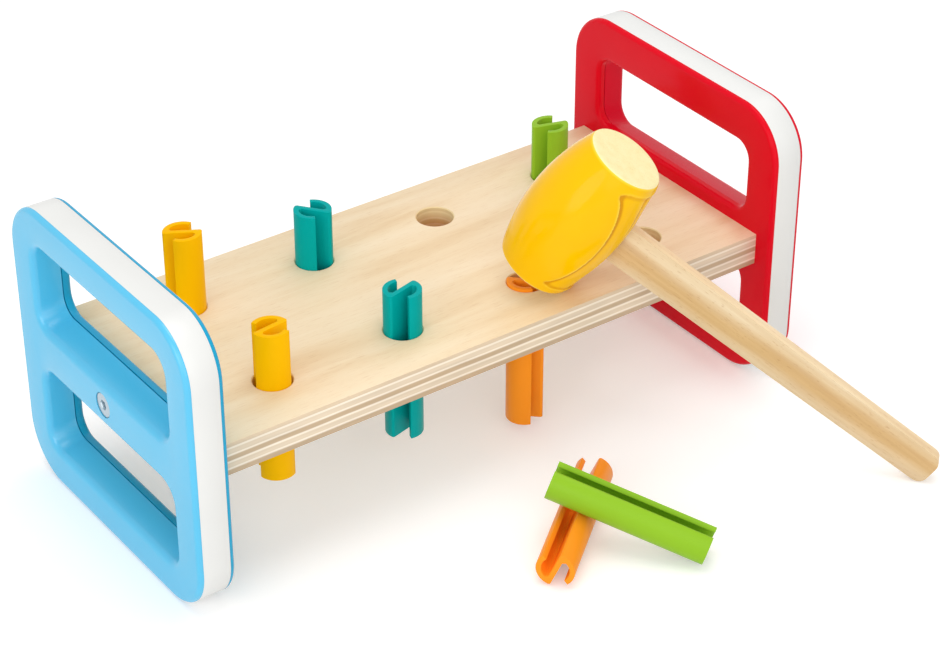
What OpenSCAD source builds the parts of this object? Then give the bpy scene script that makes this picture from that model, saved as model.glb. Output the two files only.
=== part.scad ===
// Peg pounding bench: a plywood board on two moulded end panels, six split pegs
// standing in it, two more on the floor and a wooden mallet that leans on the board.
// X runs along the board from the blue panel to the red one, Y to the back, Z up.
// The bench can be turned over, so it is the same above and below its board.

/* [Board] */
// Length of the board between the two end panels
board_l = 262; // [240:1:300]
// Width of the board
board_w = 117; // [110:1:124]
// Thickness of the board
board_t = 14; // [12:0.5:18]
// Bore of a peg hole
hole_d = 15.8; // [14:0.1:18]
// Distance from hole to hole along a row
hole_pitch = 60.5; // [45:0.5:66]
// How far the pattern of holes sits towards the red panel
hole_shift = 0.5; // [0:0.1:1]
// Distance between the two rows of holes
row_gap = 64; // [44:1:70]
// Chamfer round the mouth of a hole
hole_chamfer = 0.4; // [0.2:0.1:0.8]

/* [End panels] */
// Width of a panel, front to back
panel_w = 134; // [130:1:150]
// Height of a panel
panel_h = 127; // [120:1:150]
// Thickness of a panel
panel_t = 16; // [14:0.5:20]
// Radius of the panel's corners
corner_r = 22.4; // [14:0.2:28]
// Thickness of a shell's plate, which shows as a coloured rim beside the band
plate_t = 2.1; // [1.6:0.1:2.6]
// Rounding of a shell's outer edge
edge_r = 2; // [1:0.1:2]
// Wall of the white band
band_wall = 2.6; // [2:0.1:4]
// Wall of the ribs, lips and window collars
rib_wall = 1.8; // [1.4:0.1:2.2]
// Height of the lip that locates the band
lip_h = 3; // [2:0.1:4]
// Clearance between a lip and the band
lip_gap = 0.15; // [0.05:0.05:0.3]

/* [Windows] */
// Width of a window on the outer face
window_w = 101; // [80:1:104]
// Height of the frame above and below the windows
frame_h = 15.5; // [12:0.5:18]
// Height of the bar between the two windows
bar_h = 19; // [17:0.5:24]
// Corner radius of a window on the outer face
window_r = 8.4; // [5:0.2:12]
// Taper of the side walls down to the seam
side_draft = 0.8; // [0.4:0.1:1.5]
// Taper of the wall next to the panel's edge
frame_draft = 2.9; // [1:0.1:3.5]
// Taper of the wall next to the bar
bar_draft = 3.5; // [1:0.1:4]
// Depth of the inner shell, where the seam lies
seam_z = 4; // [3.5:0.1:6]
// Width of the seam between the two shells
seam_gap = 0.4; // [0.2:0.1:0.8]
// Rounding of a window's edge on the outer face
window_edge = 2.6; // [1:0.2:3]
// Rounding of a window's edge on the inner face
inner_edge = 2; // [1:0.2:2.4]

/* [Fastening] */
// Thread of the panel bolt
bolt_d = 6; // [5:0.5:6]
// Length of the bolt under its head
bolt_l = 30; // [24:1:36]
// Diameter of the bolt's head
bolt_head_d = 10; // [8:0.5:12]
// Height of the bolt's head
bolt_head_h = 2.4; // [2:0.1:3]
// Width across flats of the hex socket
socket_w = 4; // [3:0.5:5]
// Depth of the hex socket
socket_depth = 1.6; // [1:0.1:1.8]
// How far the head lies below the face
head_sunk = 0.2; // [0:0.1:0.6]
// Clearance of the bolt in its holes, on the radius
bolt_clear = 0.3; // [0.2:0.1:0.5]
// Diameter of the threaded insert
insert_d = 9; // [8:0.5:10]
// Length of the threaded insert
insert_l = 20; // [15:1:25]
// Diameter of the locating dowels
dowel_d = 6; // [5:0.5:8]
// How deep the dowels sit in the board
dowel_in = 11; // [8:0.5:16]
// Distance between the two dowels of a panel
dowel_gap = 70; // [50:1:80]
// Wall of a moulded boss
boss_wall = 2; // [1.4:0.1:2.4]
// Clearance of dowels, inserts and threads, on the radius
seat_clear = 0.05; // [0.02:0.01:0.1]

/* [Pegs] */
// Length of a peg
peg_l = 66.5; // [56:0.5:68]
// Clearance of a peg in its hole, on the radius
peg_clear = 0.08; // [0.02:0.01:0.1]
// Wall of a peg
peg_wall = 2.1; // [1.6:0.1:2.6]
// Size of the flat that fills the sharp corner of a peg's fold
peg_flat = 0.9; // [0.5:0.1:1.2]
// Angle at which a peg's outer walls end, seen from its web
peg_open = 62; // [50:1:90]
// How far the back yellow peg stands out of the board
yellow_back_up = 35; // [0:0.1:50]
// How far the front yellow peg stands out
yellow_front_up = 24.2; // [0:0.1:50]
// How far the back teal peg stands out
teal_back_up = 24.4; // [0:0.1:50]
// How far the front teal peg stands out
teal_front_up = 18.8; // [0:0.1:50]
// How far the back green peg stands out
green_back_up = 25; // [0:0.1:50]
// How far the driven orange peg stands out
orange_driven_up = 1; // [0:0.1:3]

/* [Loose pegs] */
// Place of the loose orange peg along the bench
loose_x = 1.2; // [-40:0.1:20]
// Distance from the bench's middle to the loose orange peg
loose_front = 105.2; // [90:0.1:120]
// Heading of the loose orange peg, from the board's long side
loose_turn = 39; // [20:1:60]
// Where the green peg crosses the orange one, from the orange one's middle
cross_orange = -1.6; // [-20:0.1:20]
// Where the orange peg lies under the green one, from the green one's middle
cross_green = 23.4; // [15:0.1:26]
// How far the green peg sinks into the split of the orange one
cross_dip = 0.7; // [0:0.1:1.5]
// Gap between pieces that rest on each other
rest_gap = 0.3; // [0.2:0.05:0.5]

/* [Mallet] */
// Length of the mallet's head
head_l = 63.4; // [50:0.1:75]
// Largest diameter of the head
head_d = 43.8; // [36:0.2:48]
// Diameter of the head's end faces
head_end_d = 32; // [26:0.2:38]
// Chamfer round the end faces
head_chamfer = 0.4; // [0.2:0.1:1]
// Length of the handle in front of the head
handle_l = 157.6; // [140:0.1:180]
// Width of the handle at the head
handle_w = 17.8; // [14:0.1:20]
// Width of the handle at its end
handle_end_w = 14.7; // [12:0.1:18]
// Thickness of the handle at its two edges
handle_edge_t = 5; // [4:0.1:7]
// Thickness of the handle in the middle of its width
handle_mid_t = 7; // [5.5:0.1:9]
// Corner radius at the handle's end
handle_r = 4.2; // [2:0.1:5]
// How deep the handle is glued into the head
tenon_l = 26; // [15:1:32]
// Clearance of the glued handle in its mortise
glue_gap = 0.1; // [0.05:0.05:0.2]
// Length of the recess on the head
recess_l = 55; // [40:1:60]
// Width of the recess on the head
recess_w = 35; // [26:0.5:36]
// Width of the deeper inner step of the recess
step_w = 18.2; // [16:0.2:22]
// Depth of the recess
recess_depth = 0.9; // [0.5:0.1:1.5]
// Depth of the inner step below the recess
step_depth = 0.5; // [0.3:0.1:1]
// Corner radius of the recess
recess_r = 3; // [1:0.1:5]
// Place of the head's middle along the bench
mallet_x = 45.3; // [35:0.1:55]
// Distance from the bench's middle to the head's middle
mallet_front = 47.8; // [40:0.1:52]
// Heading in which the head leans over, from the board's long side
mallet_turn = -45.5; // [-60:0.5:-30]
// Turn of the handle about the head's own axis
mallet_spin = -3.1; // [-6:0.1:6]

/* [Hidden] */

$fn = 96;
// Steps in a quarter turn of a window's corner, and in the rounding of its edge
corner_steps = 8;
edge_steps = 4;
// Overrun of every cut past the face it leaves
over = 1;

// Heights of the board
board_mid = panel_h/2;
board_top = board_mid + board_t/2;
board_low = board_mid - board_t/2;

// Depths inside a panel, counted outward from the face at the board
band_low = plate_t;
band_high = panel_t - plate_t;
seam_depth = panel_t - seam_z;
seat_z = panel_t - head_sunk - bolt_head_h;
bolt_boss_r = bolt_head_d/2 + bolt_clear + boss_wall;
dowel_boss_r = dowel_d/2 + seat_clear + boss_wall;
dowel_out = band_high - boss_wall - 2*seat_clear;
bolt_reach = max(bolt_l - seat_z, insert_l) + bolt_d/2;

// The pegs
peg_r = hole_d/2 - peg_clear;
peg_mid_r = peg_r - peg_wall/2;
peg_in_r = peg_r - peg_wall;
// Turn of each peg's web from the board's long side
yellow_back_turn = -30;
yellow_front_turn = 7;
teal_back_turn = -52.5;
teal_front_turn = 14;
green_back_turn = -17;
orange_driven_turn = -44;
orange_loose_turn = 23;
green_loose_turn = 30;
cross_turn = 91;

// The mallet's lean, at which the end of its handle meets the floor
head_r = head_d/2;
head_end_r = head_end_d/2;
sag = head_r - head_end_r;
barrel_r = (head_l*head_l/4 + sag*sag)/(2*sag);
handle_reach = head_r + handle_l;
handle_bulge = (handle_mid_t - handle_edge_t)/2;
handle_arc_r = (handle_w*handle_w/4 + handle_bulge*handle_bulge)/(2*handle_bulge);
corner_y = handle_end_w/2 - handle_r;
rim_r = head_end_r - head_chamfer;
lean_a = head_l/2 - corner_y;
lean_b = rim_r - cos(mallet_spin)*(handle_reach - handle_r) - abs(sin(mallet_spin))*handle_mid_t/2;
lean_c = board_top + rest_gap - handle_r;
mallet_lean = asin(-lean_c/norm([lean_a, lean_b])) - atan2(lean_b, lean_a);
mallet_z = board_top + rest_gap + sin(mallet_lean)*head_l/2 + cos(mallet_lean)*rim_r;

// The whole set is centred front to back on the origin, between the back of the
// panels and the end of the mallet's handle
axis_y = cos(mallet_lean)*sin(mallet_turn);
reach_y = sin(mallet_lean)*sin(mallet_turn)*cos(mallet_spin) + cos(mallet_turn)*sin(mallet_spin);
side_y = cos(mallet_turn)*cos(mallet_spin) - sin(mallet_lean)*sin(mallet_turn)*sin(mallet_spin);
edge_x = corner_y + handle_r*abs(axis_y)/norm([reach_y, axis_y]);
edge_half = handle_mid_t/2 - handle_arc_r + sqrt(pow(handle_arc_r, 2) - pow(edge_x, 2));
set_front = mallet_front + abs(reach_y)*(handle_reach - handle_r) + abs(axis_y)*corner_y
    + norm([reach_y, axis_y])*handle_r + abs(side_y)*edge_half;
bench_y = (set_front - panel_w/2)/2;

// The green peg's lean over the orange one, found by halving
function low_end(a) = peg_r*pow(cos(a), 2) + (peg_l/2 + cross_green)*sin(a)*cos(a) - peg_r*cos(a);
function halve(a, b, n) = n == 0 ? (a + b)/2
    : low_end((a + b)/2) < 2*peg_r - cross_dip + rest_gap ? halve((a + b)/2, b, n - 1) : halve(a, (a + b)/2, n - 1);
green_lean = halve(0, 40, 30);
green_turn = loose_turn - cross_turn;
green_z = peg_r*cos(green_lean) + sin(green_lean)*peg_l/2;

// ---------- shared shapes ----------

module rounded(w, h, r) {
    square([w - 2*r, h], center = true);
    square([w, h - 2*r], center = true);
    for (x = [-1, 1], y = [-1, 1])
        translate([x*(w/2 - r), y*(h/2 - r)]) circle(r);
}

// Skin through a stack of rings that all have the same number of points
module loft(rings) {
    n = len(rings[0]);
    last = len(rings) - 1;
    polyhedron(
        points = [for (ring = rings) each ring],
        faces = concat(
            [[for (i = [0:n - 1]) i]],
            [[for (i = [0:n - 1]) last*n + n - 1 - i]],
            [for (k = [0:last - 1], i = [0:n - 1]) [k*n + i, (k + 1)*n + i, (k + 1)*n + (i + 1)%n]],
            [for (k = [0:last - 1], i = [0:n - 1]) [k*n + i, (k + 1)*n + (i + 1)%n, k*n + (i + 1)%n]]));
}

// Moves what is drawn round the bench's own middle to its place in the set
module on_bench() {
    translate([0, bench_y, 0]) children();
}

module hole_places() {
    for (i = [-1.5:1:1.5], s = [-1, 1])
        translate([hole_shift + i*hole_pitch, s*row_gap/2, 0]) children();
}

// ---------- board ----------

module board_hole() {
    cylinder(h = board_t + 2*over, d = hole_d, center = true);
    for (m = [0, 1])
        mirror([0, 0, m]) translate([0, 0, board_t/2 - hole_chamfer])
            cylinder(h = hole_chamfer + over, r1 = hole_d/2, r2 = hole_d/2 + hole_chamfer + over);
}

module end_bores() {
    rotate([0, 90, 0]) {
        translate([0, 0, -insert_l - 2*seat_clear])
            cylinder(h = insert_l + 2*seat_clear + over, r = insert_d/2 + seat_clear);
        translate([0, 0, -bolt_reach])
            cylinder(h = bolt_reach + over, r = bolt_d/2 + bolt_clear);
        for (s = [-1, 1])
            translate([0, s*dowel_gap/2, -dowel_in - 2*seat_clear])
                cylinder(h = dowel_in + 2*seat_clear + over, r = dowel_d/2 + seat_clear);
    }
}

module board() {
    color("burlywood") on_bench() translate([0, 0, board_mid])
        difference() {
            cube([board_l, board_w, board_t], center = true);
            hole_places() board_hole();
            for (m = [0, 1]) mirror([m, 0, 0]) translate([board_l/2, 0, 0]) end_bores();
        }
}

// ---------- end panels ----------
// A panel is drawn lying on its inner face, with its middle at the origin: x runs
// front to back, y up and z away from the board.

module edge_profile(reach) {
    square([reach - edge_r, plate_t]);
    square([reach, plate_t - edge_r]);
    translate([reach - edge_r, plate_t - edge_r]) circle(edge_r);
}

// Keeps the profile above the plate's flat side
module plate_profile(reach) {
    intersection() {
        edge_profile(reach);
        square([reach, plate_t]);
    }
}

// Plate with round corners and its far edge rounded
module shell_plate() {
    w = panel_w - 2*corner_r;
    h = panel_h - 2*corner_r;
    translate([-w/2, -h/2, 0]) cube([w, h, plate_t]);
    for (m = [0, 1]) {
        mirror([m, 0, 0]) translate([w/2, h/2, 0]) rotate([90, 0, 0])
            linear_extrude(h) plate_profile(corner_r);
        mirror([0, m, 0]) translate([-w/2, h/2, 0]) rotate([90, 0, 90])
            linear_extrude(w) plate_profile(corner_r);
        for (k = [0, 1])
            mirror([m, 0, 0]) mirror([0, k, 0]) translate([w/2, h/2, 0])
                rotate_extrude(angle = 90) plate_profile(corner_r);
    }
}

// One ring of a window below the bar, at depth z and grown by g on every side
function draft_share(z) = max(0, (panel_t - z)/seam_depth);
function window_ring(z, s, g) = let(
    hw = window_w/2 - side_draft*s + g,
    low = -panel_h/2 + frame_h + frame_draft*s - g,
    high = -bar_h/2 - bar_draft*s + g,
    r = window_r - side_draft*s + g)
    [for (c = [0:3], k = [0:corner_steps]) let(
        a = 90*(c + k/corner_steps),
        sx = c == 0 || c == 3 ? 1 : -1,
        sy = c < 2 ? 1 : -1)
        [sx*(hw - r) + r*cos(a), (low + high)/2 + sy*((high - low)/2 - r) + r*sin(a), z]];

module outer_plug() {
    loft(concat(
        [window_ring(seam_z - over, 1, 0)],
        [for (k = [0:edge_steps]) let(
            a = 90*k/edge_steps,
            z = panel_t - window_edge*(1 - sin(a)),
            g = window_edge*(1 - cos(a)))
            window_ring(z, draft_share(z), g)],
        [window_ring(panel_t + over, 0, window_edge)]));
}

module inner_plug() {
    loft(concat(
        [window_ring(-over, 1, inner_edge)],
        [for (k = [0:edge_steps]) let(
            a = 90*k/edge_steps,
            z = inner_edge*(1 - cos(a)),
            g = inner_edge*(1 - sin(a)))
            window_ring(z, 1, g)],
        [window_ring(seam_z + over, 1, 0)]));
}

module both_windows() {
    for (m = [0, 1]) mirror([0, m, 0]) children();
}

module band_outline() {
    rounded(panel_w, panel_h, corner_r);
}

module band_opening() {
    rounded(panel_w - 2*band_wall, panel_h - 2*band_wall, corner_r - band_wall);
}

// Lip inside the band, which keeps band and shell in line
module lip() {
    gap = band_wall + lip_gap;
    in = gap + rib_wall;
    linear_extrude(lip_h)
        difference() {
            rounded(panel_w - 2*gap, panel_h - 2*gap, corner_r - gap);
            rounded(panel_w - 2*in, panel_h - 2*in, corner_r - in);
        }
}

module outer_shell() {
    difference() {
        union() {
            translate([0, 0, band_high]) shell_plate();
            translate([0, 0, band_high - lip_h]) lip();
            both_windows() loft([
                window_ring(seam_z + seam_gap/2, 1, rib_wall),
                window_ring(band_high, draft_share(band_high), rib_wall)]);
            translate([0, 0, band_low]) cylinder(h = band_high - band_low, r = bolt_boss_r);
        }
        both_windows() outer_plug();
        cylinder(h = panel_t + over, r = bolt_d/2 + bolt_clear);
        translate([0, 0, seat_z]) cylinder(h = panel_t - seat_z + over, r = bolt_head_d/2 + bolt_clear);
    }
}

module inner_shell() {
    difference() {
        union() {
            translate([0, 0, plate_t]) mirror([0, 0, 1]) shell_plate();
            translate([0, 0, band_low]) lip();
            both_windows() loft([
                window_ring(band_low, 1, rib_wall),
                window_ring(seam_z - seam_gap/2, 1, rib_wall)]);
            for (s = [-1, 1])
                translate([s*dowel_gap/2, 0, 0]) cylinder(h = band_high, r = dowel_boss_r);
        }
        both_windows() inner_plug();
        translate([0, 0, -over]) cylinder(h = plate_t + 2*over, r = bolt_d/2 + bolt_clear);
        for (s = [-1, 1])
            translate([s*dowel_gap/2, 0, -over])
                cylinder(h = dowel_out + 2*seat_clear + over, r = dowel_d/2 + seat_clear);
    }
}

module rim_band() {
    translate([0, 0, band_low]) linear_extrude(band_high - band_low)
        difference() {
            band_outline();
            band_opening();
        }
}

module panel_bolt() {
    difference() {
        union() {
            translate([0, 0, seat_z]) cylinder(h = bolt_head_h, d = bolt_head_d);
            translate([0, 0, seat_z - bolt_l]) cylinder(h = bolt_l, d = bolt_d);
        }
        translate([0, 0, seat_z + bolt_head_h - socket_depth])
            cylinder(h = socket_depth + over, d = socket_w/cos(30), $fn = 6);
    }
}

module insert() {
    translate([0, 0, -insert_l])
        difference() {
            cylinder(h = insert_l, d = insert_d);
            translate([0, 0, -over]) cylinder(h = insert_l + 2*over, r = bolt_d/2 + seat_clear);
        }
}

module dowels() {
    for (s = [-1, 1])
        translate([s*dowel_gap/2, 0, -dowel_in]) cylinder(h = dowel_in + dowel_out, d = dowel_d);
}

module at_red() {
    on_bench() translate([board_l/2, 0, board_mid]) rotate([90, 0, 90]) children();
}

module at_blue() {
    mirror([1, 0, 0]) at_red() children();
}

module blue_outer_shell() { color("skyblue") at_blue() outer_shell(); }
module blue_rim_band() { color("whitesmoke") at_blue() rim_band(); }
module blue_inner_shell() { color("deepskyblue") at_blue() inner_shell(); }
module blue_bolt() { color("silver") at_blue() panel_bolt(); }
module blue_insert() { color("gray") at_blue() insert(); }
module blue_dowels() { color("tan") at_blue() dowels(); }
module red_outer_shell() { color("red") at_red() outer_shell(); }
module red_rim_band() { color("whitesmoke") at_red() rim_band(); }
module red_inner_shell() { color("firebrick") at_red() inner_shell(); }
module red_bolt() { color("silver") at_red() panel_bolt(); }
module red_insert() { color("gray") at_red() insert(); }
module red_dowels() { color("tan") at_red() dowels(); }

// ---------- pegs ----------
// A peg is one folded wall: a flat web across the middle, and at each end of it a
// round wall that bends back and stops short of the other fold, so it can spring.

module peg_half() {
    far = 2*peg_r;
    // round wall
    intersection() {
        difference() {
            circle(peg_r);
            circle(peg_in_r);
        }
        polygon([[0, 0], [far*cos(peg_open), far*sin(peg_open)], [-far, far], [-far, 0]]);
    }
    // fold
    translate([-peg_mid_r, 0]) circle(peg_wall/2);
    // flat in the corner between the web and the round wall
    flat_y = peg_wall/2 + peg_flat;
    flat_x = -sqrt(pow(peg_in_r - peg_flat, 2) - pow(flat_y, 2));
    out = [flat_x, flat_y]/norm([flat_x, flat_y]);
    polygon([[-peg_mid_r, 0], [flat_x, 0], [flat_x, peg_wall/2], peg_in_r*out, peg_mid_r*out]);
}

module peg_section() {
    square([2*peg_mid_r, peg_wall], center = true);
    for (a = [0, 180]) rotate(a) peg_half();
}

// flip = 1 folds the walls the other way round
module peg(flip) {
    linear_extrude(peg_l) mirror([0, flip]) peg_section();
}

module standing_peg(column, row, up, turn, flip) {
    on_bench() translate([hole_shift + column*hole_pitch, row*row_gap/2, board_top + up - peg_l])
        rotate(turn) peg(flip);
}

module yellow_peg_back() { color("gold") standing_peg(-1.5, 1, yellow_back_up, yellow_back_turn, 0); }
module yellow_peg_front() { color("gold") standing_peg(-1.5, -1, yellow_front_up, yellow_front_turn, 1); }
module teal_peg_back() { color("teal") standing_peg(-0.5, 1, teal_back_up, teal_back_turn, 1); }
module teal_peg_front() { color("teal") standing_peg(-0.5, -1, teal_front_up, teal_front_turn, 0); }
module green_peg_back() { color("yellowgreen") standing_peg(1.5, 1, green_back_up, green_back_turn, 0); }
module orange_peg_driven() { color("darkorange") standing_peg(0.5, -1, orange_driven_up, orange_driven_turn, 1); }

module orange_peg_loose() {
    color("darkorange") on_bench() translate([loose_x, -loose_front, peg_r])
        rotate([0, 90, loose_turn]) rotate(orange_loose_turn)
            translate([0, 0, -peg_l/2]) peg(1);
}

module green_peg_loose() {
    along = cross_green*cos(green_lean);
    color("yellowgreen") on_bench()
        translate([loose_x + cross_orange*cos(loose_turn) + along*cos(green_turn),
            -loose_front + cross_orange*sin(loose_turn) + along*sin(green_turn), green_z])
        rotate([0, 90 + green_lean, green_turn]) rotate(green_loose_turn)
            translate([0, 0, -peg_l/2]) peg(1);
}

// ---------- mallet ----------
// Drawn with the head's axis along z and the handle along x.

module mallet_place() {
    on_bench() translate([mallet_x, -mallet_front, mallet_z])
        rotate([0, 90 - mallet_lean, mallet_turn]) rotate(mallet_spin) children();
}

module barrel(inset) {
    rotate_extrude()
        intersection() {
            translate([head_r - barrel_r, 0]) circle(barrel_r - inset, $fn = 360);
            polygon([[0, -head_l/2], [rim_r, -head_l/2], [rim_r + head_l/2, 0],
                [rim_r, head_l/2], [0, head_l/2]]);
        }
}

// One step of the recess: a rounded frame along the head whose floor follows the barrel
module recess_step(w, depth) {
    difference() {
        rotate([0, 90, 0]) linear_extrude(head_d) rounded(recess_l, w, recess_r);
        barrel(depth);
    }
}

// Outline of the handle seen on its wide side, from the tenon to the rounded end
module handle_outline(grow, length) {
    tip = handle_reach - handle_r;
    slope = (handle_w - handle_end_w)/(2*handle_l);
    start = head_r - tenon_l;
    finish = min(length, tip);
    w0 = handle_end_w/2 + slope*(handle_reach - start);
    w1 = handle_end_w/2 + slope*(handle_reach - finish);
    polygon([[start - grow, -w0 - grow], [finish, -w1 - grow], [finish, w1 + grow], [start - grow, w0 + grow]]);
    if (length > tip) {
        translate([tip, -corner_y]) square([handle_r, 2*corner_y]);
        for (s = [-1, 1])
            translate([tip, s*corner_y]) circle(handle_r);
    }
}

// Cross-section of the handle: two shallow arcs between square edges
module handle_section(grow) {
    intersection() {
        translate([handle_mid_t/2 - handle_arc_r, 0]) circle(handle_arc_r + grow, $fn = 360);
        translate([handle_arc_r - handle_mid_t/2, 0]) circle(handle_arc_r + grow, $fn = 360);
        square([handle_mid_t + 2*grow, 2*handle_w], center = true);
    }
}

module stick(grow, length) {
    intersection() {
        rotate([90, 0, 0]) translate([0, 0, -handle_mid_t]) linear_extrude(2*handle_mid_t)
            handle_outline(grow, length);
        rotate([90, 0, 90]) translate([0, 0, head_r - tenon_l - over])
            linear_extrude(length - head_r + tenon_l + 2*over) handle_section(grow);
    }
}

module mallet_head() {
    color("gold") mallet_place()
        difference() {
            barrel(0);
            recess_step(recess_w, recess_depth);
            recess_step(step_w, recess_depth + step_depth);
            stick(glue_gap, head_d);
        }
}

module mallet_handle() {
    color("wheat") mallet_place() stick(0, handle_reach);
}

board();
blue_outer_shell();
blue_rim_band();
blue_inner_shell();
blue_bolt();
blue_insert();
blue_dowels();
red_outer_shell();
red_rim_band();
red_inner_shell();
red_bolt();
red_insert();
red_dowels();
yellow_peg_back();
yellow_peg_front();
teal_peg_back();
teal_peg_front();
green_peg_back();
orange_peg_driven();
orange_peg_loose();
green_peg_loose();
mallet_head();
mallet_handle();
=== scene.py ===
"""Peg pounding bench: finishes, light and camera round the solids of the frame."""
import math

import bpy
import numpy as np
from mathutils import Matrix, Vector


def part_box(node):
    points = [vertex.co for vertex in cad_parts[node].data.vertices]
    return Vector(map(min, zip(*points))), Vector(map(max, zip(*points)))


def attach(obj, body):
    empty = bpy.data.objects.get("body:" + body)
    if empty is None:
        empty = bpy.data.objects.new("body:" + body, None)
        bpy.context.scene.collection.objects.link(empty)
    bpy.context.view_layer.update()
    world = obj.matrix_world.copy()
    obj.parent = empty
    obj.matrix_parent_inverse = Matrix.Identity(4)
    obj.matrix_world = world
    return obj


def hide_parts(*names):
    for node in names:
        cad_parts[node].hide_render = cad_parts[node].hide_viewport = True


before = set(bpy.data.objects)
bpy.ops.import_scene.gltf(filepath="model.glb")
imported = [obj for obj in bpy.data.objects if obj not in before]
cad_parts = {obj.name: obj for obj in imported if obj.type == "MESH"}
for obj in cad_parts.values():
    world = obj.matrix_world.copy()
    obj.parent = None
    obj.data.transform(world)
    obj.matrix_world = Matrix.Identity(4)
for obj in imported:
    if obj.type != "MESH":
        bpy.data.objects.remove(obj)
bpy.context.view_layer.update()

# Board
# Birch plywood, sanded and clear lacquered, with eight peg holes drilled through it.
# The faces show pale rotary-cut veneer, the edges and the holes the stack of plies.


def linear(colour):
    """Linear colour of an sRGB hex value."""
    parts = [int(colour[i:i + 2], 16) / 255 for i in (1, 3, 5)]
    return [c / 12.92 if c <= 0.04045 else ((c + 0.055) / 1.055) ** 2.4 for c in parts] + [1.0]


def add(tree, kind, links=None, stops=(), **settings):
    """Adds a node with its settings.

    links maps an input to a value or to another node's output; stops are the
    (position, sRGB hex) marks of a colour ramp.
    """
    node = tree.nodes.new(kind)
    for name, value in settings.items():
        setattr(node, name, value)
    for extra in stops[2:]:
        node.color_ramp.elements.new(1.0)
    for number, (position, colour) in enumerate(stops):
        node.color_ramp.elements[number].position = position
        node.color_ramp.elements[number].color = linear(colour)
    for name, value in (links or {}).items():
        if isinstance(value, bpy.types.NodeSocket):
            tree.links.new(value, node.inputs[name])
        else:
            node.inputs[name].default_value = value
    return node


def new_material(name):
    """An empty material, its tree, and the place on the object in metres."""
    material = bpy.data.materials.new(name)
    material.use_nodes = True
    tree = material.node_tree
    tree.nodes.clear()
    place = add(tree, "ShaderNodeTexCoord").outputs["Object"]
    return material, tree, place


def finish_surface(tree, colour, rough, bump, **constants):
    """Closes a material with its shader."""
    shader = add(tree, "ShaderNodeBsdfPrincipled",
                 {"Base Color": colour, "Roughness": rough, "Normal": bump, **constants})
    add(tree, "ShaderNodeOutputMaterial", {"Surface": shader.outputs["BSDF"]})


def streaks(tree, place, stretch, detail, rough=0.5, swirl=0.0):
    """Noise drawn out along the wood; stretch says how often it changes in a metre each way."""
    laid = add(tree, "ShaderNodeMapping", {"Vector": place, "Scale": stretch}).outputs["Vector"]
    return add(tree, "ShaderNodeTexNoise", {
        "Vector": laid, "Scale": 1.0, "Detail": detail, "Roughness": rough,
        "Distortion": swirl}).outputs["Fac"]


def smooth_tree():
    """A tree that shades a solid smooth but for its sharp edges."""
    tree = bpy.data.node_groups.new("smooth but for sharp edges", "GeometryNodeTree")
    ports = tree.interface
    ports.new_socket("Geometry", in_out="INPUT", socket_type="NodeSocketGeometry")
    angle = ports.new_socket("Sharp angle", in_out="INPUT", socket_type="NodeSocketFloat")
    angle.default_value = math.radians(32)
    ports.new_socket("Geometry", in_out="OUTPUT", socket_type="NodeSocketGeometry")
    source = add(tree, "NodeGroupInput")
    edge = add(tree, "GeometryNodeInputMeshEdgeAngle")
    flat = add(tree, "FunctionNodeCompare", {
        "A": edge.outputs["Unsigned Angle"], "B": source.outputs["Sharp angle"]}, operation="LESS_THAN")
    faces = add(tree, "GeometryNodeSetShadeSmooth", {"Geometry": source.outputs["Geometry"]}, domain="FACE")
    edges = add(tree, "GeometryNodeSetShadeSmooth", {
        "Geometry": faces.outputs["Geometry"], "Shade Smooth": flat.outputs["Result"]}, domain="EDGE")
    add(tree, "NodeGroupOutput", {"Geometry": edges.outputs["Geometry"]})
    return tree


SMOOTH = smooth_tree()
WELD = 1e-6


def dress(name, material, broken=0.0, limit=50):
    """Gives a solid its material, joins its loose triangles and smooths it.

    Edges sharper than limit degrees are broken by a small radius.
    """
    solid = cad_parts[name]
    solid.data.materials.clear()
    solid.data.materials.append(material)
    weld = solid.modifiers.new("weld", "WELD")
    weld.merge_threshold = WELD
    if broken:
        bevel = solid.modifiers.new("broken edges", "BEVEL")
        bevel.width = broken
        bevel.segments = 2
        bevel.limit_method = "ANGLE"
        bevel.angle_limit = math.radians(limit)
    soft = solid.modifiers.new("smooth", "NODES")
    soft.node_group = SMOOTH


def face_veneer(tree, place):
    """Colour, figure and pores of the pale face veneer."""
    # the figure is 12 mm wide and 11 cm long
    figure = streaks(tree, place, (9, 85, 85), 3.0, 0.55, 0.6)
    # real pores are finer; half a millimetre wide and 7 mm long, they show in a picture
    pores = streaks(tree, place, (140, 2200, 2200), 2.0, 0.6)
    veneer = add(tree, "ShaderNodeValToRGB", {"Fac": figure},
                 [(0.30, "#E6C99E"), (0.48, "#EED6B0"), (0.70, "#F3DFBE")]).outputs["Color"]
    marks = add(tree, "ShaderNodeValToRGB", {"Fac": pores},
                [(0.30, "#D9B98C"), (0.42, "#FFFFFF")]).outputs["Color"]
    veneer = add(tree, "ShaderNodeMix", {0: 0.28, 6: veneer, 7: marks},
                 data_type="RGBA", blend_type="MULTIPLY").outputs[2]
    return veneer, figure, pores


def ply_layers():
    """Colours down the board's thickness, as stops from its top, 0, to its underside, 1."""
    joint, top, pale, brown = "#FBEEDA", "#DEC7A8", "#E3D0B5", "#C7AD8C"
    layers = [(0.0, 0.11, top), (0.135, 0.17, joint), (0.2, 0.335, pale), (0.36, 0.385, joint),
              (0.425, 0.54, brown), (0.575, 0.605, joint), (0.64, 0.765, pale), (0.79, 0.82, joint),
              (0.86, 1.0, brown)]
    return [(edge, colour) for start, end, colour in layers for edge in (start, end)]


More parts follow.
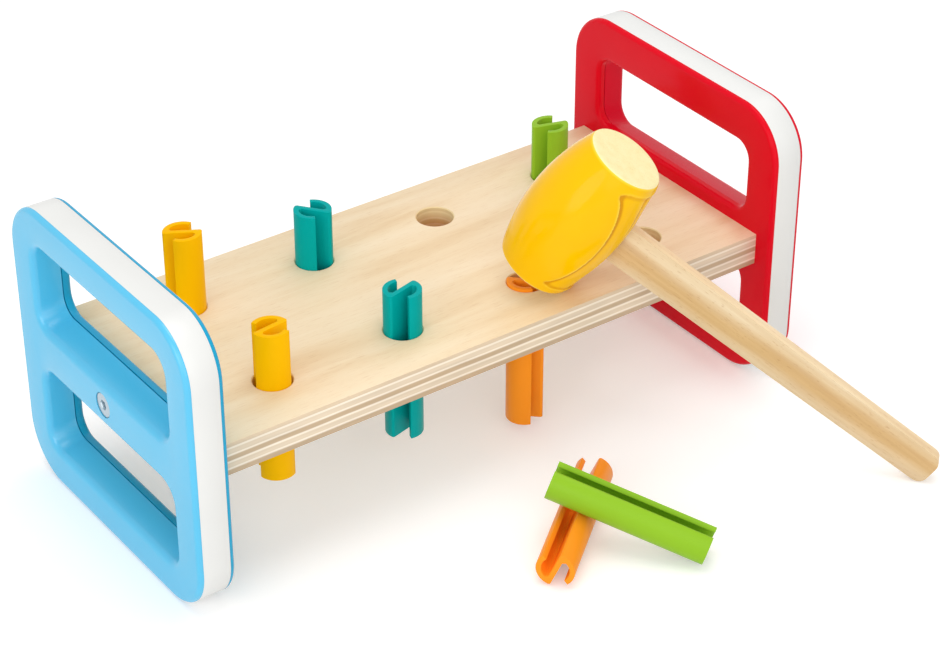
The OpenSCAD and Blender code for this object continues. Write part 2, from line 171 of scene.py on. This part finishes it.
def stacked_plies(tree, place, low, high):
    """Plies on the sawn edges, darker where their end grain shows, and how deep each point lies."""
    height = add(tree, "ShaderNodeSeparateXYZ", {"Vector": place}).outputs["Z"]
    depth = add(tree, "ShaderNodeMapRange", {
        "Value": height, "From Min": high[2], "From Max": low[2]}).outputs["Result"]
    # the glue lines wander by a sixth of a millimetre over 22 mm
    wander = add(tree, "ShaderNodeTexNoise", {"Vector": place, "Scale": 45.0, "Detail": 2.0}).outputs["Fac"]
    wander = add(tree, "ShaderNodeMapRange", {
        "Value": wander, "To Min": -0.012, "To Max": 0.012}).outputs["Result"]
    depth = add(tree, "ShaderNodeMath", {0: depth, 1: wander}, operation="ADD").outputs[0]
    plies = add(tree, "ShaderNodeValToRGB", {"Fac": depth}, ply_layers()).outputs["Color"]
    # the tone changes over 33 mm along the edge and 2.5 mm down it
    tone = streaks(tree, place, (30, 30, 400), 3.0)
    tone = add(tree, "ShaderNodeMapRange", {
        "Value": tone, "From Min": 0.3, "From Max": 0.7, "To Min": 0.9, "To Max": 1.06}).outputs["Result"]
    plies = add(tree, "ShaderNodeVectorMath", {0: plies, 3: tone}, operation="SCALE").outputs[0]
    return plies, depth


EDGE_DEPTH = 0.003


def well_inside(tree, place, low, high):
    """1 on what lies over EDGE_DEPTH inside the board's outline, as its holes do, else 0."""
    middle = [(a + b) / 2 for a, b in zip(low, high)]
    offset = add(tree, "ShaderNodeVectorMath", {0: place, 1: middle}, operation="SUBTRACT").outputs[0]
    offset = add(tree, "ShaderNodeSeparateXYZ", {"Vector": offset})
    within = []
    for way, letter in enumerate("XY"):
        reach = (high[way] - low[way]) / 2 - EDGE_DEPTH
        far = add(tree, "ShaderNodeMath", {0: offset.outputs[letter]}, operation="ABSOLUTE").outputs[0]
        within.append(add(tree, "ShaderNodeMath", {0: far, 1: reach}, operation="LESS_THAN").outputs[0])
    return add(tree, "ShaderNodeMath", {0: within[0], 1: within[1]}, operation="MULTIPLY").outputs[0]


def birch_plywood():
    """Birch plywood under clear lacquer: faint long figure, fine pores, crisp plies on the edges."""
    material, tree, place = new_material("birch_plywood_lacquered")
    low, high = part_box("board")
    veneer, figure, pores = face_veneer(tree, place)
    plies, depth = stacked_plies(tree, place, low, high)
    # the drill leaves the walls of the holes golden; the browner tone deep down is painted shade in the
    # holes
    drilled = well_inside(tree, place, low, high)
    drilled = add(tree, "ShaderNodeMath", {0: drilled, 1: 0.72}, operation="MULTIPLY").outputs[0]
    hole_tone_and_painted_shade = add(tree, "ShaderNodeValToRGB", {"Fac": depth},
                 [(0.2, "#F0D89E"), (0.58, "#D2903A")]).outputs["Color"]
    sides = add(tree, "ShaderNodeMix", {0: drilled, 6: plies, 7: hole_tone_and_painted_shade}, data_type="RGBA").outputs[2]
    # veneer shows where the surface looks up or down
    up = add(tree, "ShaderNodeNewGeometry").outputs["Normal"]
    up = add(tree, "ShaderNodeSeparateXYZ", {"Vector": up}).outputs["Z"]
    up = add(tree, "ShaderNodeMath", {0: up}, operation="ABSOLUTE").outputs[0]
    flat = add(tree, "ShaderNodeMath", {0: up, 1: 0.75}, operation="GREATER_THAN").outputs[0]
    colour = add(tree, "ShaderNodeMix", {0: flat, 6: sides, 7: veneer}, data_type="RGBA").outputs[2]
    bump = add(tree, "ShaderNodeBump", {
        "Height": pores, "Strength": 0.12, "Distance": 0.00008}).outputs["Normal"]
    rough = add(tree, "ShaderNodeMapRange", {
        "Value": figure, "To Min": 0.42, "To Max": 0.52}).outputs["Result"]
    finish_surface(tree, colour, rough, bump, IOR=1.5)
    return material


dress("board", birch_plywood(), broken=0.0006, limit=60)

# End panels
# Each is two glossy ABS mouldings, an outer and an inner shell, clamped round a white
# band. The windows' collars meet at a seam near the inner face.


def moulded_abs(name, colour, gloss, ripple=0.25, index=1.5):
    """Injection-moulded ABS: even colour, polished mould, a faint long ripple in the reflections."""
    material, tree, place = new_material(name)
    # the colour is uneven by a few parts in a hundred, over 36 mm
    tone = add(tree, "ShaderNodeTexNoise", {"Vector": place, "Scale": 28.0, "Detail": 2.0}).outputs["Fac"]
    tone = add(tree, "ShaderNodeMapRange", {"Value": tone, "To Min": 0.96, "To Max": 1.03}).outputs["Result"]
    base = add(tree, "ShaderNodeRGB")
    base.outputs[0].default_value = linear(colour)
    base = add(tree, "ShaderNodeVectorMath", {0: base.outputs[0], 3: tone}, operation="SCALE").outputs[0]
    # the mould's grain is drawn at 0.4 mm, coarser than it is, so that it shows; its slow
    # waves are 9 mm long
    grain = add(tree, "ShaderNodeTexNoise", {"Vector": place, "Scale": 2500.0, "Detail": 1.0}).outputs["Fac"]
    waves = add(tree, "ShaderNodeTexNoise", {"Vector": place, "Scale": 110.0, "Detail": 1.0}).outputs["Fac"]
    bump = add(tree, "ShaderNodeBump", {
        "Height": waves, "Strength": ripple, "Distance": 0.0001}).outputs["Normal"]
    bump = add(tree, "ShaderNodeBump", {
        "Height": grain, "Strength": 0.08, "Distance": 0.00002, "Normal": bump}).outputs["Normal"]
    rough = add(tree, "ShaderNodeMapRange", {
        "Value": grain, "To Min": gloss - 0.03, "To Max": gloss + 0.03}).outputs["Result"]
    finish_surface(tree, base, rough, bump, IOR=index)
    return material


# the sky blue shell mirrors the room most and the satin red one least, so their indices differ
dress("blue_outer_shell", moulded_abs("moulded_abs_sky_blue", "#4EBDE6", 0.24, index=1.6))
# the inner shell is moulded in the same sky blue; its darker colour is painted shade, as it shows only
# inside the windows
dress("blue_inner_shell", moulded_abs("moulded_abs_sky_blue_painted_shade", "#12A2CC", 0.24, index=1.3))
dress("red_outer_shell", moulded_abs("moulded_abs_satin_red", "#DE0C2C", 0.26, index=1.14))
dress("red_inner_shell", moulded_abs("moulded_abs_signal_red", "#DE0820", 0.18, index=1.18))
band_white = moulded_abs("moulded_abs_band_white", "#E6E6E3", 0.35)
for side in ("blue", "red"):
    dress(side + "_rim_band", band_white, broken=0.0002)

# Bolts, inserts and dowels
# A zinc-plated socket bolt through the bar of each panel pulls it against the board,
# on a brass insert in the board's end, between two beech dowels.


def turned_metal(name, colour, rough):
    """Turned metal: fine rings, a third of a millimetre apart, round the bolts' axis."""
    material, tree, place = new_material(name)
    centre = [(a + b) / 2 for a, b in zip(*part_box("board"))]
    rings = add(tree, "ShaderNodeMapping", {
        "Vector": place, "Location": (0, -centre[1], -centre[2])}).outputs["Vector"]
    rings = add(tree, "ShaderNodeTexWave", {"Vector": rings, "Scale": 900.0, "Distortion": 0.6},
                wave_type="RINGS", rings_direction="X").outputs["Fac"]
    shade = add(tree, "ShaderNodeMapRange", {
        "Value": rings, "To Min": rough - 0.06, "To Max": rough + 0.08}).outputs["Result"]
    bump = add(tree, "ShaderNodeBump", {
        "Height": rings, "Strength": 0.1, "Distance": 0.00002}).outputs["Normal"]
    finish_surface(tree, linear(colour), shade, bump, Metallic=1.0)
    return material


def beech(name, along, pale, mid, deep):
    """Turned or planed beech: straight grain along the piece and short dark rays."""
    material, tree, place = new_material(name)
    turn = Vector((1, 0, 0)).rotation_difference(Vector(along).normalized()).to_matrix()
    # the mapping turns the pattern's own X onto the direction of the grain
    back = turn.transposed().to_euler()
    laid = add(tree, "ShaderNodeMapping", {"Vector": place, "Rotation": tuple(back)}).outputs["Vector"]
    # the grain is 4 mm wide and 7 cm long, the rays half a millimetre wide and 3 mm long
    grain = streaks(tree, laid, (14, 260, 260), 4.0, 0.6, 0.3)
    rays = streaks(tree, laid, (330, 2300, 2300), 1.0)
    body = add(tree, "ShaderNodeValToRGB", {"Fac": grain},
               [(0.28, deep), (0.5, mid), (0.72, pale)]).outputs["Color"]
    flecks = add(tree, "ShaderNodeValToRGB", {"Fac": rays},
                 [(0.27, "#C99F6A"), (0.36, "#FFFFFF")]).outputs["Color"]
    colour = add(tree, "ShaderNodeMix", {0: 0.35, 6: body, 7: flecks},
                 data_type="RGBA", blend_type="MULTIPLY").outputs[2]
    bump = add(tree, "ShaderNodeBump", {
        "Height": grain, "Strength": 0.15, "Distance": 0.0001}).outputs["Normal"]
    rough = add(tree, "ShaderNodeMapRange", {
        "Value": grain, "To Min": 0.45, "To Max": 0.58}).outputs["Result"]
    return material, tree, place, colour, rough, bump


def turned_dowel():
    """Beech turned to a rod, with its grain from end to end."""
    material, tree, place, colour, rough, bump = beech(
        "beech_dowel", (1, 0, 0), "#E9CFA0", "#DDBD8B", "#CFAB76")
    finish_surface(tree, colour, rough, bump, IOR=1.5)
    return material


zinc = turned_metal("zinc_plated_steel", "#AFBCC4", 0.24)
brass = turned_metal("turned_brass", "#C9A24E", 0.38)
dowel_beech = turned_dowel()
for side in ("blue", "red"):
    dress(side + "_bolt", zinc, broken=0.0003)
    dress(side + "_insert", brass, broken=0.0002)
    dress(side + "_dowels", dowel_beech, broken=0.0004)

# Pegs
# Each is one springy moulding of satin ABS, its wall folded like an S and cut off square.
# They come in four colours, two pegs of each.

PEG_GLOSS = 0.33
PEG_RIPPLE = 0.15
# colour, index of the surface, and the two pegs moulded in it
peg_batches = {
    "yellow": ("#FFBF00", 1.12, ("yellow_peg_back", "yellow_peg_front")),
    "teal": ("#00A5A2", 1.12, ("teal_peg_back", "teal_peg_front")),
    "green": ("#8FBE2A", 1.2, ("green_peg_back", "green_peg_loose")),
    "orange": ("#FF9822", 1.2, ("orange_peg_driven", "orange_peg_loose"))}
for shade, (colour, index, pegs) in peg_batches.items():
    plastic = moulded_abs("moulded_abs_peg_" + shade, colour, PEG_GLOSS, PEG_RIPPLE, index)
    for peg in pegs:
        dress(peg, plastic, broken=0.00045)

# Mallet
# A barrel turned from beech, painted yellow but for its two sanded ends, with a flat
# beech stick glued into it. The stick is planed with slightly round faces.

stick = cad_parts["mallet_handle"]
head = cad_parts["mallet_head"]
AXIS_TURNS = 60


def long_axis(solid):
    """Middle and long direction of a solid, from the spread of its corners."""
    places = [v.co.copy() for v in solid.data.vertices]
    middle = sum(places, Vector()) / len(places)
    spread = Matrix.Diagonal((0, 0, 0))
    for place in places:
        offset = place - middle
        for row in range(3):
            for column in range(3):
                spread[row][column] += offset[row] * offset[column]
    # each turn through the spread draws any direction closer to the long one
    axis = Vector((0.3, -0.3, 0.9))
    for turn in range(AXIS_TURNS):
        axis = (spread @ axis).normalized()
    return middle, axis


END_RING = 0.00002


def end_middle(solid, axis):
    """Middle of the corners that lie within END_RING of a solid's end along an axis."""
    reach = max(v.co @ axis for v in solid.data.vertices)
    ring = [v.co for v in solid.data.vertices if v.co @ axis > reach - END_RING]
    return sum(ring, Vector()) / len(ring)


# the largest single face of the barrel lies on one of its flat ends
head_axis = max(head.data.polygons, key=lambda face: face.area).normal.copy()
head_axis *= math.copysign(1, head_axis.z)
high_middle, low_middle = end_middle(head, head_axis), end_middle(head, -head_axis)
head_middle = (high_middle + low_middle) / 2
# the paint stops this far short of each end
BARE = 0.0005


def painted_barrel():
    """Gloss paint on turned beech, and bare sanded end grain inside the chamfer of each end."""
    material, tree, place, wood, rough, bump = beech(
        "painted_beech_barrel", head_axis, "#FFF2BD", "#FCEEB5", "#F8E7AA")
    along = add(tree, "ShaderNodeVectorMath", {0: place, 1: tuple(head_axis)},
                operation="DOT_PRODUCT").outputs["Value"]
    over = add(tree, "ShaderNodeMath", {0: along, 1: high_middle @ head_axis - BARE},
               operation="GREATER_THAN").outputs[0]
    under = add(tree, "ShaderNodeMath", {0: along, 1: low_middle @ head_axis + BARE},
                operation="LESS_THAN").outputs[0]
    bare = add(tree, "ShaderNodeMath", {0: over, 1: under}, operation="MAXIMUM").outputs[0]
    tone = add(tree, "ShaderNodeTexNoise", {"Vector": place, "Scale": 35.0, "Detail": 2.0}).outputs["Fac"]
    paint = add(tree, "ShaderNodeValToRGB", {"Fac": tone},
                [(0.3, "#F6BB00"), (0.7, "#F9C200")]).outputs["Color"]
    # painted shade darkens the corners of the recess, and a painted highlight lightens its edges
    for note, start, end, tint in (("painted_recess_shade", 0.002, 0.012, "#D99400"),
                                   ("painted_edge_highlight", 0.006, 0.035, "#FFD63C")):
        amount = add(tree, "ShaderNodeAttribute", attribute_name=note).outputs["Fac"]
        amount = add(tree, "ShaderNodeMapRange", {
            "Value": amount, "From Min": start, "From Max": end}).outputs["Result"]
        paint = add(tree, "ShaderNodeMix", {
            0: amount, 6: paint, 7: linear(tint)}, data_type="RGBA").outputs[2]
    colour = add(tree, "ShaderNodeMix", {0: bare, 6: paint, 7: wood}, data_type="RGBA").outputs[2]
    gloss = add(tree, "ShaderNodeMix", {0: bare, 2: 0.15, 3: rough}).outputs[0]
    finish_surface(tree, colour, gloss, bump, IOR=1.22)
    return material


# fine enough for the two steps of the recess
PAINT_CELL = 0.00045


def even_copy(name, cell, upright):
    """A copy of a solid as one skin of even faces, which run along its own axes."""
    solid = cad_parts[name]
    copy = bpy.data.objects.new(name + "_painted", solid.data.copy())
    copy.data.transform(upright.inverted())
    bpy.context.scene.collection.objects.link(copy)
    weld = copy.modifiers.new("weld", "WELD")
    weld.merge_threshold = WELD
    grid = copy.modifiers.new("even faces", "REMESH")
    grid.mode = "VOXEL"
    grid.voxel_size = cell
    grid.use_smooth_shade = True
    skin = bpy.data.meshes.new_from_object(copy.evaluated_get(bpy.context.evaluated_depsgraph_get()))
    copy.modifiers.clear()
    skin.transform(upright)
    copy.data = skin
    return copy


# the barrel's radius at its middle and the radius of its bulging side, in metres
HEAD_RADIUS = 0.0219
BULGE_RADIUS = 0.0881
# half the recess's length, and the depths between which a corner lies in it
RECESS_HALF = 0.0275
RECESS_DEPTHS = (0.0001, 0.0017)
# as shares of that half length: where the recess starts to run out, how far it takes,
# and how far out its corners are looked for
RUN_OUT_FROM = 0.6
RUN_OUT_OVER = 0.45
RECESS_REACH = 1.02
DEPTH_LOST = 0.55


def fade_recess(places, middle, axis):
    """Lets the recess run out towards its two ends, where it keeps less than half its depth."""
    middle, axis = np.array(middle), np.array(axis)
    offset = places - middle
    height = offset @ axis
    outward = offset - height[:, None] * axis
    radius = np.linalg.norm(outward, axis=1)
    full = HEAD_RADIUS - BULGE_RADIUS + np.sqrt(BULGE_RADIUS ** 2 - height ** 2)
    depth = full - radius
    along = np.abs(height) / RECESS_HALF
    share = np.clip((along - RUN_OUT_FROM) / RUN_OUT_OVER, 0, 1)
    keep = 1 - DEPTH_LOST * share * share * (3 - 2 * share)
    shallow, deep = RECESS_DEPTHS
    cut = (depth > shallow) & (depth < deep) & (along < RECESS_REACH)
    radius_new = np.where(cut, full - depth * keep, radius)
    return middle + height[:, None] * axis + outward * (radius_new / radius)[:, None]


def flow(values, edges, rounds, share=0.5):
    """Evens out a value between neighbouring corners of a mesh; it softens the paint's edges, and spreads
    the painted shade and painted highlight.
    """
    count = np.bincount(edges.ravel(), minlength=len(values)).astype(float)
    for turn in range(rounds):
        total = np.zeros_like(values)
        np.add.at(total, edges[:, 0], values[edges[:, 1]])
        np.add.at(total, edges[:, 1], values[edges[:, 0]])
        values = values + share * ((total.T / count).T - values)
    return values


SOFT_EDGE_ROUNDS = 5
# rounds that spread the painted shade of the recess and the painted highlight of its edges, and the bend
# from which the highlight starts
SHADE_ROUNDS = 22
HIGHLIGHT_ROUNDS = 4
HIGHLIGHT_FROM = 0.006


def paint_coat(name, material, middle, axis, side):
    """The solid under its dipped paint: soft edges, and notes of where painted shade darkens the recess and
    a painted highlight lightens its edges.
    """
    across = (side - side.dot(axis) * axis).normalized()
    upright = Matrix((across, axis.cross(across), axis)).transposed().to_4x4()
    coat = even_copy(name, PAINT_CELL, upright)
    skin = coat.data
    corners = len(skin.vertices)
    places = np.empty(3 * corners)
    skin.vertices.foreach_get("co", places)
    edges = np.empty(2 * len(skin.edges), dtype=np.int64)
    skin.edges.foreach_get("vertices", edges)
    edges = edges.reshape(-1, 2)
    places = flow(fade_recess(places.reshape(-1, 3), middle, axis), edges, SOFT_EDGE_ROUNDS)
    skin.vertices.foreach_set("co", places.ravel())
    skin.update()
    outward = np.empty(3 * corners)
    skin.vertices.foreach_get("normal", outward)
    # the bend is above 0 in a corner of the recess and below 0 on an edge
    bend = ((flow(places, edges, 1, 1.0) - places) * outward.reshape(-1, 3)).sum(axis=1) / PAINT_CELL
    notes = {"painted_recess_shade": flow(np.maximum(bend, 0), edges, SHADE_ROUNDS),
             "painted_edge_highlight": flow(np.maximum(-bend - HIGHLIGHT_FROM, 0), edges, HIGHLIGHT_ROUNDS)}
    for label, amount in notes.items():
        skin.attributes.new(label, "FLOAT", "POINT").data.foreach_set("value", amount)
    skin.materials.clear()
    skin.materials.append(material)
    return coat


stick_middle, stick_axis = long_axis(stick)
barrel = paint_coat("mallet_head", painted_barrel(), head_middle, head_axis, stick_axis)
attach(barrel, "mallet")
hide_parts("mallet_head")

TAN_BAND_SLOPE = 0.03
# metres across the stick: how far the tan band lies off its middle, and where it starts
# and ends to fade on each side
TAN_BAND_SHIFT = 0.0008
TAN_BAND_HALF = 0.0015
TAN_BAND_FADE = 0.007


def tan_band(tree, place):
    """1 along the tan middle of the stick, fading to 0 towards its paler edges."""
    # the tan band runs out of line with the stick, towards its upper edge at the foot
    over = head_axis + math.copysign(TAN_BAND_SLOPE, stick_axis.z) * stick_axis
    across = add(tree, "ShaderNodeVectorMath", {0: place, 1: tuple(over)},
                 operation="DOT_PRODUCT").outputs["Value"]
    across = add(tree, "ShaderNodeMath", {0: across, 1: stick_middle @ over + TAN_BAND_SHIFT},
                 operation="SUBTRACT").outputs[0]
    wander = add(tree, "ShaderNodeTexNoise", {"Vector": place, "Scale": 22.0, "Detail": 2.0}).outputs["Fac"]
    wander = add(tree, "ShaderNodeMapRange", {
        "Value": wander, "To Min": -0.003, "To Max": 0.003}).outputs["Result"]
    across = add(tree, "ShaderNodeMath", {0: across, 1: wander}, operation="ADD").outputs[0]
    across = add(tree, "ShaderNodeMath", {0: across}, operation="ABSOLUTE").outputs[0]
    return add(tree, "ShaderNodeMapRange", {
        "Value": across, "From Min": TAN_BAND_HALF, "From Max": TAN_BAND_FADE,
        "To Min": 1.0, "To Max": 0.0}).outputs["Result"]


# how much paler the painted light makes the narrow sides
NARROW_SIDE_LIGHT = 1.22


def planed_stick():
    """Flat-sawn beech, planed and sanded bare: tan along the middle, paler towards the edges, and painted
    light on its narrow sides.
    """
    material, tree, place, colour, rough, bump = beech(
        "planed_beech", stick_axis, "#E7D2AF", "#DEC59D", "#D4B78E")
    colour = add(tree, "ShaderNodeMix", {0: tan_band(tree, place), 6: colour, 7: linear("#F0DEBE")},
                 data_type="RGBA", blend_type="MULTIPLY").outputs[2]
    # painted light: the narrow sides are drawn paler, as light from above and behind would make them
    facing = add(tree, "ShaderNodeNewGeometry").outputs["Normal"]
    facing = add(tree, "ShaderNodeVectorMath", {0: facing, 1: tuple(head_axis)},
                 operation="DOT_PRODUCT").outputs["Value"]
    facing = add(tree, "ShaderNodeMath", {0: facing}, operation="ABSOLUTE").outputs[0]
    lit_narrow_side = add(tree, "ShaderNodeMapRange", {
        "Value": facing, "From Min": 0.45, "From Max": 0.8}).outputs["Result"]
    pale = add(tree, "ShaderNodeVectorMath", {0: colour, 3: NARROW_SIDE_LIGHT}, operation="SCALE").outputs[0]
    colour = add(tree, "ShaderNodeMix", {0: lit_narrow_side, 6: colour, 7: pale}, data_type="RGBA").outputs[2]
    finish_surface(tree, colour, rough, bump, IOR=1.5)
    return material


dress("mallet_handle", planed_stick(), broken=0.0007, limit=60)

# Floor, light and camera
# A pale seamless floor and a plain white room, under large soft lamps. The camera looks
# from the front left and above.


def seen_rays(tree):
    """1 for what the camera sees, straight on or in a reflection, and 0 for the light on the set."""
    eye = add(tree, "ShaderNodeLightPath")
    seen = add(tree, "ShaderNodeMath", {
        0: eye.outputs["Is Camera Ray"], 1: eye.outputs["Is Glossy Ray"]}, operation="MAXIMUM").outputs[0]
    return add(tree, "ShaderNodeMath", {
        0: seen, 1: eye.outputs["Is Transmission Ray"]}, operation="MAXIMUM").outputs[0]


WHITE = (1, 1, 1, 1)
PAPER_WHITE = (0.88, 0.88, 0.88, 1)


def pale_floor():
    """Matt paper that the camera sees almost white but for the soft shadows."""
    material, tree = new_material("matt_paper")[:2]
    paper = add(tree, "ShaderNodeBsdfDiffuse", {"Color": PAPER_WHITE})
    # the camera and the reflections see the glow, but it lights nothing else
    glow = add(tree, "ShaderNodeEmission", {"Color": WHITE, "Strength": 0.26})
    lit = add(tree, "ShaderNodeAddShader", {0: paper.outputs[0], 1: glow.outputs[0]})
    both = add(tree, "ShaderNodeMixShader", {0: seen_rays(tree), 1: paper.outputs[0], 2: lit.outputs[0]})
    add(tree, "ShaderNodeOutputMaterial", {"Surface": both.outputs[0]})
    return material


FLOOR_HALF = 3.0
# the floor lies just under the feet, so that no two faces share a plane
FLOOR_DROP = 0.0003
floor_corners = [(x * FLOOR_HALF, y * FLOOR_HALF, 0) for x, y in ((-1, -1), (1, -1), (1, 1), (-1, 1))]
floor_mesh = bpy.data.meshes.new("floor")
floor_mesh.from_pydata(floor_corners, [], [(0, 1, 2, 3)])
floor_mesh.materials.append(pale_floor())
floor = bpy.data.objects.new("floor", floor_mesh)
bpy.context.scene.collection.objects.link(floor)
floor.location.z = -FLOOR_DROP

world = bpy.data.worlds.new("studio")
bpy.context.scene.world = world
world.use_nodes = True
studio = world.node_tree
studio.nodes.clear()
# the camera sees the room white, and the light that it gives the bench is dimmer
room = add(studio, "ShaderNodeBackground", {"Color": WHITE, "Strength": 0.6})
white = add(studio, "ShaderNodeBackground", {"Color": WHITE, "Strength": 1.0})
both = add(studio, "ShaderNodeMixShader", {0: seen_rays(studio), 1: room.outputs[0], 2: white.outputs[0]})
add(studio, "ShaderNodeOutputWorld", {"Surface": both.outputs[0]})

LAMP_AIM = Vector((0.0, 0.0, 0.06))


def soft_lamp(name, place, size, power):
    """A round soft box, turned to the middle of the set."""
    lamp = bpy.data.lights.new(name, "AREA")
    lamp.shape = "DISK"
    lamp.size = size
    lamp.energy = power
    holder = bpy.data.objects.new(name, lamp)
    holder.location = place
    holder.rotation_euler = (LAMP_AIM - Vector(place)).to_track_quat("-Z", "Y").to_euler()
    bpy.context.scene.collection.objects.link(holder)


soft_lamp("overhead", (0.0, 0.0, 1.4), 1.0, 5.5)
soft_lamp("front", (-0.45, -1.0, 0.6), 1.2, 4.5)
soft_lamp("left", (-1.25, -0.38, 0.5), 0.8, 4.2)
soft_lamp("back right", (0.8, 0.5, 0.95), 0.8, 1.6)

# the camera stands left of the board's middle, in front of it and over the floor, in
# metres, and looks down and to the right, in degrees
BENCH_Y = sum(corner[1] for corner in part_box("board")) / 2
CAMERA_PLACE = (-0.5177, BENCH_Y - 0.7547, 0.6367)
LOOKS_DOWN = 33.31
LOOKS_RIGHT = 35.81
camera = bpy.data.cameras.new("camera")
camera.sensor_width = 36.0
camera.lens = 99.9
camera.shift_x = 0.0035
camera.shift_y = 0.0201
camera.clip_end = 20.0
viewpoint = bpy.data.objects.new("camera", camera)
viewpoint.location = CAMERA_PLACE
viewpoint.rotation_euler = (math.radians(90 - LOOKS_DOWN), 0.0, math.radians(-LOOKS_RIGHT))
bpy.context.scene.collection.objects.link(viewpoint)
bpy.context.scene.camera = viewpoint
bpy.context.scene.view_settings.view_transform = "Standard"
